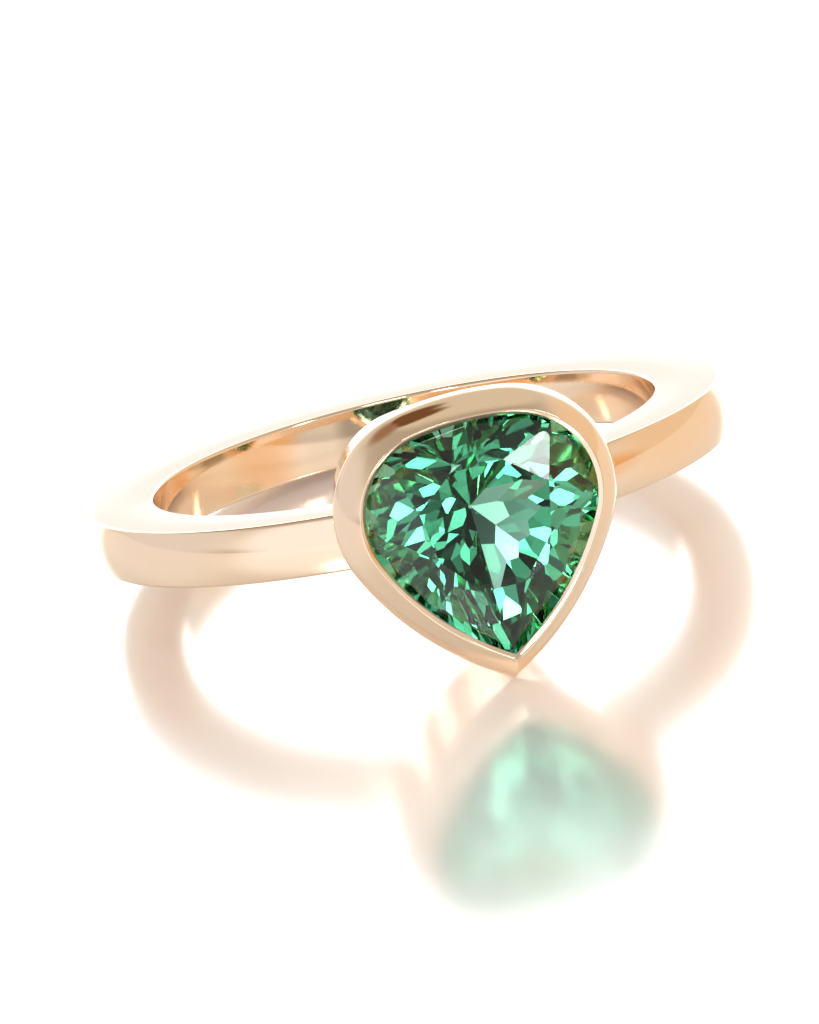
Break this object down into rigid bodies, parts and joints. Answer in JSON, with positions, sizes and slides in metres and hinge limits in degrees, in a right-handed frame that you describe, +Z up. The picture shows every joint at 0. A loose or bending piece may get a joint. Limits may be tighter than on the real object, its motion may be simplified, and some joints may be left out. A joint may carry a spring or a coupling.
{
  "type": "stackable ring with a pear-shaped bezel-set stone",
  "caption": "Slim polished gold finger ring with a pear-shaped bezel holding a faceted green stone, lying on its side.",
  "frame": {"origin": "centre of the bounding box's underside, on the table that the ring lies on", "axes": "+Z up from the table; -Y towards the head, +Y towards the back of the band; the finger's axis leans 10.6 degrees from +Z towards +Y"},
  "size_m": [0.0216, 0.025, 0.0095],
  "materials": {
    "gold": "mirror polished",
    "stone": "faceted and polished"
  },
  "bodies": {
    "root": {"shank_and_bezel": "gold", "pear_stone": "stone"}
  },
  "joints": []
}
